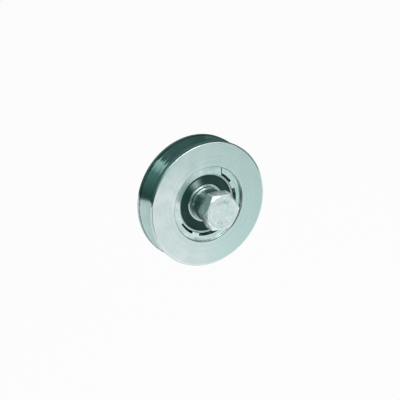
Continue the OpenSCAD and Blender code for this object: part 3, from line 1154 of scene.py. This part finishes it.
        # painted highlight: the run value marks a lighter patch on the front seal's face, fading towards its
        # rim
        if side > 0:
            off = (np.degrees(angles) - self.highlight_at + 180) % 360 - 180
            clear, fade = 0.9, 0.8
            band = smooth_step((self.seal_rim - clear - outline[:, 0, 0]) / fade)
            skin.run = (band[:, None] * np.exp(-(off / self.highlight_sweep) ** 2)).ravel()
        return skin.piece(name)

    def build(self, wardrobe: Wardrobe) -> None:
        """Makes and dresses the rings and seals, and dresses the frame's balls and cage.

        Args:
            wardrobe: hands out the finishes.
        """
        for ring, body, node in ((self.outer_ring(), Body.WHEEL, "bearing_outer_ring"),
                                 (self.inner_ring(), Body.AXLE, "bearing_inner_ring")):
            wardrobe.place(ring, body, Finish.GROUND_RACE, "bearing_steel", node)
        for side, end in ((1, "front"), (-1, "rear")):
            seal = self.seal(side, f"moulded_seal_{end}")
            wardrobe.place(seal, Body.WHEEL, Finish.SEAL_RUBBER, "seal_rubber", f"seal_{end}")
        finishes = {"ball": Finish.POLISHED_BALL, "cage": Finish.PRESSED_CAGE}
        for name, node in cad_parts.items():
            finish = finishes.get(name.split("_")[0])
            if finish:
                wardrobe.dress(node, finish)
                log.info("%s: the frame's own, %s", name, finish.value.name)


# ---- Axle -------------------------------------------------------------------


@dataclass(frozen=True)
class Fan:
    """A fan of short raised bars on the bolt head, evenly spaced about one angle, in degrees."""

    angle: float
    step: float
    bars: int
    distance: float
    half_length: float


@dataclass
class AxleSet:
    """Both flanged bushes and the hexagon bolt that carries the wheel."""

    bolt: float = 7.0
    bush_bore: float = 7.1
    neck: float = 8.5
    neck_end: float = 0.1
    collar: float = 10.25
    front_face: float = 16.5
    rear_face: float = 14.5
    bearing_half: float = 6.0
    bevel: float = 0.5
    bore_bevel: float = 0.8
    bush_columns: int = 192
    across_flats: float = 22.0
    head_height: float = 8.8
    head_flat: float = 10.45
    head_under: float = 11.176
    head_columns: int = 264
    head_rows: int = 70
    head_radii: tuple[float, ...] = (0.3, 0.22, 0.15, 0.1, 0.1, 0.12)
    corner_round: float = 0.55
    corner_columns: tuple[float, ...] = (0.35, 0.7, 1.1, 1.6, 2.4)
    corner_clear: float = 3.0
    cone_inset: float = 0.06
    washer_face: float = 10.12
    washer_height: float = 0.5
    forging_wave: float = 0.03
    wave_across: tuple[float, float] = (0.55, 1.0)
    wave_up: tuple[float, float] = (0.48, -0.4)
    hollow: float = 0.1
    hollow_clear: float = 0.6
    hollow_fade: float = 1.2
    mark_height: float = 0.26
    mark_half: float = 0.38
    mark_side: float = 0.4
    mark_end: float = 0.5
    mark_painted_shade: float = -0.5
    fans: tuple[Fan, ...] = (Fan(90, 16, 5, 6.5, 1.1), Fan(-90, 20, 3, 6.8, 0.8))
    length: float = 65.0
    thread_length: float = 34.0
    thread_crest: float = 6.84
    thread_depth: float = 1.12
    thread_pitch: float = 2.0
    thread_run_in: float = 1.5
    thread_rows: int = 20
    crest_step: float = 0.6
    shank_columns: int = 120
    tip_chamfer: float = 1.5
    tip_wear: float = 0.6
    root_painted_shade: float = 2.2
    into_head: float = 1.0

    def bush(self, side: int, face: float, name: str) -> bpy.types.Object:
        """A flanged bush: a neck in the bearing's bore and a collar beyond its face.

        Args:
            side: 1 for the front, -1 for the rear.
            face: height of the collar's far face.
            name: name of the piece.

        Returns:
            The bush.
        """
        c, d, soft, tight = self.bevel, self.bore_bevel, 0.15, 0.1
        rows = np.array([
            (self.bush_bore, self.neck_end, tight), (self.neck - c, self.neck_end, tight),
            (self.neck, self.neck_end + c, tight), (self.neck, self.bearing_half, tight),
            (self.collar - c, self.bearing_half, soft), (self.collar, self.bearing_half + c, soft),
            (self.collar, face - c, soft), (self.collar - c, face, soft),
            (self.bush_bore + d, face, soft), (self.bush_bore, face - d, soft),
        ])
        outline, edge = rounded(rows[:, None, :2] * (1, side), rows[:, 2], guard=0.2)
        return turned(outline, edge, round_angles(self.bush_columns)).piece(name)

    def hexagon(self, angles: np.ndarray) -> np.ndarray:
        """Distance of the hexagon's side from the axle, with rounded upright corners.

        A flat at the distance f is f / cos(t) away at the angle t from its middle. Past the
        end of the flat, a corner circle of radius q about a point c away is
        c cos(u) + sqrt(q^2 - c^2 sin(u)^2) away at the angle u from the corner.

        Args:
            angles: angles, in radians; one corner lies on +X.

        Returns:
            The distances.
        """
        flat, q, sixth = self.across_flats / 2, self.corner_round, math.pi / 6
        t = np.abs((angles % (2 * sixth)) - sixth)
        u = sixth - t
        c = (flat - q) / math.cos(sixth)
        end = math.atan((flat - q) * math.tan(sixth) / flat)
        arc = c * np.cos(u) + np.sqrt(np.maximum(q * q - (c * np.sin(u)) ** 2, 0))
        return np.where(t < end, flat / np.cos(t), arc)

    def raised(self, x: np.ndarray, z: np.ndarray) -> np.ndarray:
        """Height of plain raised marks on the head: a fan of five short bars above, of three below.

        Each bar points at the middle of the head. It is a smooth step across, where a place at the
        distance r and the angle t off the bar's middle line lies r sin(t) away, times one along it.

        Args:
            x: places across the head.
            z: places up the head.

        Returns:
            The height, from 0 to 1.
        """
        r, angle = np.hypot(x, z), np.arctan2(z, x)
        height = np.zeros_like(x)
        for fan in self.fans:
            for bar in range(fan.bars):
                off = angle - math.radians(fan.angle + fan.step * (bar - (fan.bars - 1) / 2))
                across = soft_band(r * np.sin(off), self.mark_half, self.mark_side) * (np.cos(off) > 0)
                along = soft_band(r - fan.distance, fan.half_length, self.mark_end)
                height = np.maximum(height, across * along)
        return height

    def head(self) -> Surface:
        """The forged head: a hexagon whose corners are cut by a cone above and one below.

        At a side that is R away, the upper cone ends at height - (R - flat) tan 30.

        Returns:
            The closed skin.
        """
        near = self.corner_columns
        fine = np.radians([-degrees for degrees in reversed(near)] + [0, *near])
        corners = (np.arange(6)[:, None] * (math.pi / 3) + fine).ravel() % (2 * math.pi)
        even = round_angles(self.head_columns)
        far = np.abs((even + math.pi / 6) % (math.pi / 3) - math.pi / 6) > math.radians(self.corner_clear)
        angles = np.unique(np.concatenate([even[far], corners]).round(7))
        side = self.hexagon(angles)
        slope = math.tan(math.pi / 6)
        base, top = self.front_face, self.front_face + self.head_height
        step = base + self.washer_height
        under = np.minimum(side - self.cone_inset, self.head_under)
        rows = [(0.0, top), (self.head_flat, top), (side, top - (side - self.head_flat) * slope),
                (side, step + (side - under) * slope), (under, step), (self.washer_face, step),
                (self.washer_face, base), (0.0, base)]
        outline = np.array([np.stack(np.broadcast_arrays(r, s, side)[:2], axis=-1) for r, s in rows])
        points, edge = rounded(outline, np.array(self.head_radii), closed=False)
        share = np.linspace(0, 1, self.head_rows + 2)[1:-1, None]
        reach = points[1, :, 0] * share
        x, z = reach * np.cos(angles), reach * np.sin(angles)
        (rate_x, start_x), (rate_z, start_z) = self.wave_across, self.wave_up
        forged = self.forging_wave * np.sin(rate_x * x + start_x) * np.cos(rate_z * z + start_z)
        lift = self.mark_height * self.raised(x, z)
        rim = smooth_step((self.head_flat - self.hollow_clear - reach) / self.hollow_fade)
        disc = np.stack([reach, top + (lift + (forged - self.hollow) * rim)], axis=-1)
        points = np.concatenate([points[:1], disc, points[1:]])
        points[0, :, 1] = disc[0, :, 1].mean()
        edge = np.repeat(edge[:, None], len(angles), axis=1)
        # painted shade on the slopes of the raised bars
        marks = self.mark_painted_shade * (1 - np.abs(lift / self.mark_height * 2 - 1))
        return spun(points, np.concatenate([edge[:1], marks, edge[1:]]), angles)

    def thread_shape(self, phase: np.ndarray) -> np.ndarray:
        """Depth of a metric thread below its crest, as a share of its full depth.

        The depth is 0 on the crest flat, an eighth of the pitch wide, falls along flanks at
        30 degrees, and stays at 1 in the root. Averaging over a short stretch rounds it.

        Args:
            phase: place along one pitch, 0 to 1, with the crest in the middle.

        Returns:
            The share, 0 to 1.
        """
        samples, window = 257, 9
        table = np.linspace(0, 1, samples)
        off = np.abs(table - 0.5) * self.thread_pitch
        fall = (off - self.thread_pitch / 16) / math.tan(math.pi / 6) / self.thread_depth
        shape = np.clip(fall, 0, 1)[:-1]
        kernel = np.ones(2 * window + 1) / (2 * window + 1)
        wrapped = np.convolve(np.pad(shape, window, mode="wrap"), kernel, mode="valid")
        return np.interp(phase % 1.0, table, np.append(wrapped, wrapped[0]))

    def shank(self) -> Surface:
        """The shank with its plain stretch, rolled thread and bevelled tip.

        In the thread the radius is crest - depth * shape(s / pitch + angle / 2 pi), with the
        depth growing from 0 over the first turn and a half, and never above the tip's cone.

        Returns:
            The closed skin.
        """
        angles = round_angles(self.shank_columns)
        plain_end = self.front_face - (self.length - self.thread_length)
        tip = self.front_face - self.length
        rows = int(self.thread_length / self.thread_pitch * self.thread_rows)
        s = np.linspace(plain_end, tip, rows)[:, None]
        run = smooth_step((plain_end - s) / (self.thread_run_in * self.thread_pitch))
        shape = self.thread_shape(s / self.thread_pitch + angles[None, :] / (2 * math.pi))
        crest = self.bolt + (self.thread_crest - self.bolt) * smooth_step((plain_end - s) / self.crest_step)
        tip_r = self.thread_crest - self.tip_chamfer
        cone = tip_r + (s - tip)
        radius = np.minimum(crest - self.thread_depth * run * shape, cone)
        thread = np.stack([radius, np.broadcast_to(s, radius.shape)], axis=-1)
        # painted shade in the thread's roots; worn bright crests and tip
        edge = np.where(radius >= cone - NEARLY, self.tip_wear, 1 - self.root_painted_shade * shape * run)
        start, guard, fine_guard, coarse_guard = self.front_face + self.into_head, 0.3, 0.12, 0.4
        before = np.array([(0.0, start), (self.bolt, start), (self.bolt, plain_end + guard)])
        after = np.array([(r, tip) for r in (tip_r - fine_guard, tip_r - coarse_guard, tip_r * 0.5, 0.0)])
        before, after = (np.repeat(ends[:, None], len(angles), axis=1) for ends in (before, after))
        values = np.pad(np.clip(edge, -1, 1), ((len(before), len(after)), (0, 0)))
        return spun(np.concatenate([before, thread, after]), values, angles)

    def build(self, wardrobe: Wardrobe) -> None:
        """Makes and dresses the bushes and the bolt.

        Args:
            wardrobe: hands out the finishes.
        """
        for side, face, end in ((1, self.front_face, "front"), (-1, self.rear_face, "rear")):
            bush = self.bush(side, face, f"flanged_bush_{end}")
            wardrobe.place(bush, Body.AXLE, Finish.TURNED_BUSH, "bush_steel", f"{end}_bush")
        bolt = self.head().joined(self.shank()).piece("hexagon_bolt")
        wardrobe.place(bolt, Body.AXLE, Finish.FORGED_ZINC, "plated_bolt", "axle_bolt")


# ---- Studio -----------------------------------------------------------------


@dataclass(frozen=True)
class Flag:
    """A curved sheet round the wheel, dark or bright, for the metal to mirror.

    It spans two azimuths and two elevations, in degrees, and fades from its low tone to its high one.
    """

    name: str
    azimuths: tuple[float, float]
    elevations: tuple[float, float]
    low: RGB
    high: RGB
    distance: float = 1.5


FLAGS = (
    Flag("side_flag", (-112, -38), (-9, 30), (0.010, 0.036, 0.032), (0.15, 0.27, 0.25)),
    Flag("high_side_flag", (-112, -52), (30, 46), (0.09, 0.18, 0.165), (0.10, 0.19, 0.175)),
    Flag("side_window", (-52, -28), (30, 51), (0.34, 0.52, 0.49), (0.75, 0.90, 0.88)),
    Flag("back_flag", (112, 248), (-9, 46), (0.045, 0.095, 0.088), (0.15, 0.25, 0.235)),
    Flag("top_flag", (-180, 180), (46, 88), (0.045, 0.10, 0.09), (0.10, 0.17, 0.16)),
    Flag("front_flag", (-38, 62), (-8, 5), (0.18, 0.27, 0.255), (0.26, 0.37, 0.35)),
    Flag("front_sill", (-8, 62), (-13, -6), (0.62, 0.80, 0.78), (0.42, 0.56, 0.54), 0.34),
    Flag("front_wall", (-38, 8), (5, 26), (0.50, 0.64, 0.62), (0.42, 0.56, 0.54)),
    Flag("right_flag", (62, 112), (-9, 46), (0.12, 0.19, 0.18), (0.09, 0.15, 0.14)),
    Flag("low_right_flag", (30, 80), (-38, -14), (0.64, 0.84, 0.82), (0.54, 0.74, 0.715), 0.345),
    Flag("low_left_flag", (-46, -10), (-39, -12), (0.10, 0.17, 0.16), (0.06, 0.11, 0.10), 0.34),
)


@dataclass
class Studio:
    """White floor and surroundings, soft lamps, flags for the metal to mirror, and the camera."""

    floor_height: float = -0.22
    floor_reach: float = 40.0
    floor_paint: float = 0.9
    floor_glow: float = 0.93
    azimuth: float = -30.504
    elevation: float = 20.158
    distance: float = 0.7300
    lens: float = 106.3
    sensor: float = 36.0
    nearest: float = 0.01
    aim_right: float = -0.000712
    aim_up: float = 0.000031
    world_fill: float = 0.6
    flags: tuple[Flag, ...] = FLAGS
    flag_columns: int = 25
    flag_rows: int = 13

    @staticmethod
    def pointing(azimuth: float, elevation: float) -> Vector:
        """Unit vector from the wheel towards a place seen at an azimuth and elevation, in degrees."""
        a, e = math.radians(azimuth), math.radians(elevation)
        return Vector((math.sin(a) * math.cos(e), -math.cos(a) * math.cos(e), math.sin(e)))

    @staticmethod
    def seen_directly(tree: Tree) -> Socket:
        """Tells rays that see a thing or mirror it from rays that only light the wheel.

        Args:
            tree: the tree that gets the nodes.

        Returns:
            1 for camera, glossy and transmission rays, 0 for the rest.
        """
        path = tree.add("LightPath").outputs
        both = tree.math("MAXIMUM", path["Is Camera Ray"], path["Is Glossy Ray"])
        return tree.math("MAXIMUM", both, path["Is Transmission Ray"])

    def world(self) -> None:
        """White where it is seen or mirrored, softer as a light."""
        world = bpy.data.worlds.new("white_room")
        bpy.context.scene.world = world
        world.use_nodes = True
        tree = Tree(world.node_tree)
        strength = tree.span(self.seen_directly(tree), 0.0, 1.0, self.world_fill, 1.0)
        back = tree.add("Background", {"Color": WHITE, "Strength": strength})
        tree.add("OutputWorld", {0: back.outputs[0]})

    def floor(self) -> None:
        """A wide white floor that shows white where seen or mirrored and still takes a shadow."""
        reach, z = self.floor_reach, self.floor_height
        mesh = bpy.data.meshes.new("floor")
        mesh.from_pydata([(x * reach, y * reach, z) for x, y in ((-1, -1), (1, -1), (1, 1), (-1, 1))],
                         [], [(0, 1, 2, 3)])
        floor = in_scene("floor", mesh)
        material, tree = new_material("white_floor")
        paint = tree.add("BsdfDiffuse", {"Color": (self.floor_paint,) * 3 + (1.0,)})
        glow = tree.add("Emission", {"Color": WHITE, "Strength": 1.0})
        share = tree.math("MULTIPLY", self.seen_directly(tree), self.floor_glow)
        both = tree.add("MixShader", {0: share, 1: paint.outputs[0], 2: glow.outputs[0]})
        tree.add("OutputMaterial", {0: both.outputs[0]})
        mesh.materials.append(material)

    def flag(self, flag: Flag) -> None:
        """Hangs a curved sheet that is only there for the metal to mirror.

        A point of it is distance times the unit vector at its azimuth and elevation.

        Args:
            flag: where it hangs and its tones.
        """
        azimuth, elevation = np.radians(np.meshgrid(
            np.linspace(*flag.azimuths, self.flag_columns), np.linspace(*flag.elevations, self.flag_rows)))
        points = flag.distance * np.stack([
            np.sin(azimuth) * np.cos(elevation), -np.cos(azimuth) * np.cos(elevation),
            np.sin(elevation)], axis=-1)
        quads = grid_cells(*azimuth.shape, False, closed_columns=False)
        mesh = bpy.data.meshes.new(flag.name)
        mesh.from_pydata(points.reshape(-1, 3).tolist(), [], quads.tolist())
        sheet = in_scene(flag.name, mesh)
        sheet.visible_camera = sheet.visible_diffuse = sheet.visible_shadow = False
        material, tree = new_material(flag.name + "_cloth")
        height = tree.add("SeparateXYZ", {0: tree.place()}).outputs[2]
        ends = [flag.distance * math.sin(math.radians(e)) for e in flag.elevations]
        tone = tree.mix(tree.span(height, *ends), flag.low, flag.high)
        glow = tree.add("Emission", {"Color": tone, "Strength": 1.0})
        tree.add("OutputMaterial", {0: glow.outputs[0]})
        mesh.materials.append(material)

    def lamp(self, name: str, azimuth: float, elevation: float, distance: float,
             size: tuple[float, float], power: float, mirrored: bool = True) -> None:
        """A soft lamp that faces the wheel.

        Args:
            name: name of the lamp.
            azimuth: where it stands, seen from the wheel, in degrees.
            elevation: how high it stands, in degrees.
            distance: how far away it is.
            size: its width and height.
            power: its power.
            mirrored: whether the metal mirrors it.
        """
        light = bpy.data.lights.new(name, "AREA")
        light.shape, light.energy = "RECTANGLE", power
        light.size, light.size_y = size
        obj = in_scene(name, light)
        obj.visible_glossy = mirrored
        back = self.pointing(azimuth, elevation)
        obj.location = back * distance
        obj.rotation_euler = back.to_track_quat("Z", "Y").to_euler()

    def camera(self) -> None:
        """The camera, level with the horizon and without lens shift."""
        back = self.pointing(self.azimuth, self.elevation)
        a = math.radians(self.azimuth)
        right = Vector((math.cos(a), math.sin(a), 0.0))
        up = back.cross(right)
        data = bpy.data.cameras.new("camera")
        data.lens, data.sensor_width, data.clip_start = self.lens, self.sensor, self.nearest
        camera = in_scene("camera", data)
        place = right * self.aim_right + up * self.aim_up + back * self.distance
        camera.matrix_world = Matrix.Translation(place) @ Matrix((right, up, back)).transposed().to_4x4()
        bpy.context.scene.camera = camera

    def build(self) -> None:
        """Sets the whole studio up."""
        bpy.context.scene.view_settings.view_transform = "Standard"
        self.camera()
        self.world()
        self.floor()
        for flag in self.flags:
            self.flag(flag)
        self.lamp("key_lamp", azimuth=4, elevation=33, distance=1.1, size=(0.70, 0.17), power=1.4)
        self.lamp("fill_lamp", azimuth=30, elevation=50, distance=1.5, size=(1.0, 1.0), power=5.0,
                  mirrored=False)
        log.info("studio: floor, flags, lamps and camera")


def main() -> None:
    """Builds the studio and each sub-assembly in order."""
    logging.basicConfig(level=logging.INFO, format="%(message)s")
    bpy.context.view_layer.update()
    wardrobe = Wardrobe()
    Studio().build()
    for part in (GroovedWheel(), SplitRing(), SealedBearing(), AxleSet()):
        part.build(wardrobe)


if __name__ == "__main__":
    main()
